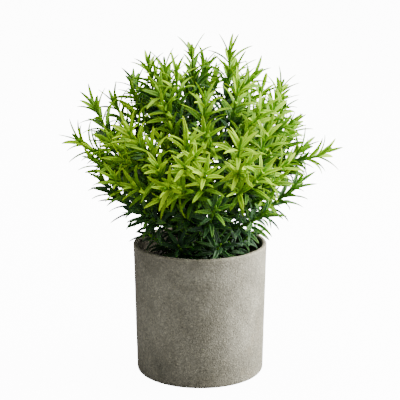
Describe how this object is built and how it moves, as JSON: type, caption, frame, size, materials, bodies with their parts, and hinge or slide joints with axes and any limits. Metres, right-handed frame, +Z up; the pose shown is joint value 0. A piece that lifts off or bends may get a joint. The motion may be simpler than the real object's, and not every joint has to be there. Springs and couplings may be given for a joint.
{
  "type": "artificial tabletop tree",
  "caption": "Small artificial tabletop tree: a bush of bendable wired stems with plug-on moulded leaf sprigs, standing in foam in a grey pulp pot.",
  "frame": {"origin": "centre of the pot's flat base", "axes": "+Z up along the pot's axis; -Y is the front; +X is the right-hand side seen from the front"},
  "size_m": [0.1843, 0.1588, 0.223],
  "materials": {
    "pulp": "matte",
    "foam": "matte",
    "soil": "matte",
    "stock_plastic": "satin",
    "stem_plastic": "satin",
    "leaf_bright": "satin",
    "leaf_mid": "satin",
    "leaf_deep": "satin"
  },
  "bodies": {
    "pot": {"pot": "pulp", "foam_block": "foam", "soil_layer": "soil"},
    "bush": {"bush_stock": "stock_plastic", "sprig_foot_1": "leaf_deep", "sprig_foot_2": "leaf_deep", "sprig_foot_3": "leaf_deep", "sprig_foot_4": "leaf_deep", "sprig_foot_5": "leaf_deep"},
    "fork_w": {"fork_w": "stem_plastic", "sprig_w_1": "leaf_mid", "sprig_w_2": "leaf_bright", "sprig_w_3": "leaf_mid", "sprig_w_4": "leaf_bright", "sprig_w_5": "leaf_mid"},
    "fork_nw": {"fork_nw": "stem_plastic", "sprig_nw_1": "leaf_mid", "sprig_nw_2": "leaf_bright", "sprig_nw_3": "leaf_mid", "sprig_nw_4": "leaf_bright", "sprig_nw_5": "leaf_mid"},
    "fork_n": {"fork_n": "stem_plastic", "sprig_n_1": "leaf_mid", "sprig_n_2": "leaf_bright", "sprig_n_3": "leaf_mid", "sprig_n_4": "leaf_bright", "sprig_n_5": "leaf_mid"},
    "fork_ne": {"fork_ne": "stem_plastic", "sprig_ne_1": "leaf_bright", "sprig_ne_2": "leaf_mid", "sprig_ne_3": "leaf_bright", "sprig_ne_4": "leaf_mid", "sprig_ne_5": "leaf_bright"},
    "fork_e": {"fork_e": "stem_plastic", "sprig_e_1": "leaf_bright", "sprig_e_2": "leaf_mid", "sprig_e_3": "leaf_bright", "sprig_e_4": "leaf_mid", "sprig_e_5": "leaf_bright"},
    "fork_se": {"fork_se": "stem_plastic", "sprig_se_1": "leaf_mid", "sprig_se_2": "leaf_bright", "sprig_se_3": "leaf_mid", "sprig_se_4": "leaf_bright", "sprig_se_5": "leaf_mid"},
    "fork_s": {"fork_s": "stem_plastic", "sprig_s_1": "leaf_bright", "sprig_s_2": "leaf_mid", "sprig_s_3": "leaf_bright", "sprig_s_4": "leaf_mid", "sprig_s_5": "leaf_bright"},
    "fork_sw": {"fork_sw": "stem_plastic", "sprig_sw_1": "leaf_bright", "sprig_sw_2": "leaf_mid", "sprig_sw_3": "leaf_bright", "sprig_sw_4": "leaf_mid", "sprig_sw_5": "leaf_bright"}
  },
  "joints": [
    {"name": "bush_lift", "type": "slide", "parent": "pot", "child": "bush", "axis": [0, 0, 1], "range_m": [0, 0.09]},
    {"name": "bend_w", "type": "hinge", "parent": "bush", "child": "fork_w", "pos_m": [-0.0052, 0, 0.0802], "axis": [0, -1, 0], "range_deg": [-3, 8]},
    {"name": "bend_nw", "type": "hinge", "parent": "bush", "child": "fork_nw", "pos_m": [-0.00368, 0.00368, 0.0802], "axis": [-0.7071, -0.7071, 0], "range_deg": [-3, 10]},
    {"name": "bend_n", "type": "hinge", "parent": "bush", "child": "fork_n", "pos_m": [0, 0.0052, 0.0802], "axis": [-1, 0, 0], "range_deg": [-3, 12]},
    {"name": "bend_ne", "type": "hinge", "parent": "bush", "child": "fork_ne", "pos_m": [0.00368, 0.00368, 0.0802], "axis": [-0.7071, 0.7071, 0], "range_deg": [-3, 10]},
    {"name": "bend_e", "type": "hinge", "parent": "bush", "child": "fork_e", "pos_m": [0.0052, 0, 0.0802], "axis": [0, 1, 0], "range_deg": [-3, 8]},
    {"name": "bend_se", "type": "hinge", "parent": "bush", "child": "fork_se", "pos_m": [0.00368, -0.00368, 0.0802], "axis": [0.7071, 0.7071, 0], "range_deg": [-3, 9]},
    {"name": "bend_s", "type": "hinge", "parent": "bush", "child": "fork_s", "pos_m": [0, -0.0052, 0.0802], "axis": [1, 0, 0], "range_deg": [-3, 9]},
    {"name": "bend_sw", "type": "hinge", "parent": "bush", "child": "fork_sw", "pos_m": [-0.00368, -0.00368, 0.0802], "axis": [0.7071, -0.7071, 0], "range_deg": [-3, 9]}
  ]
}
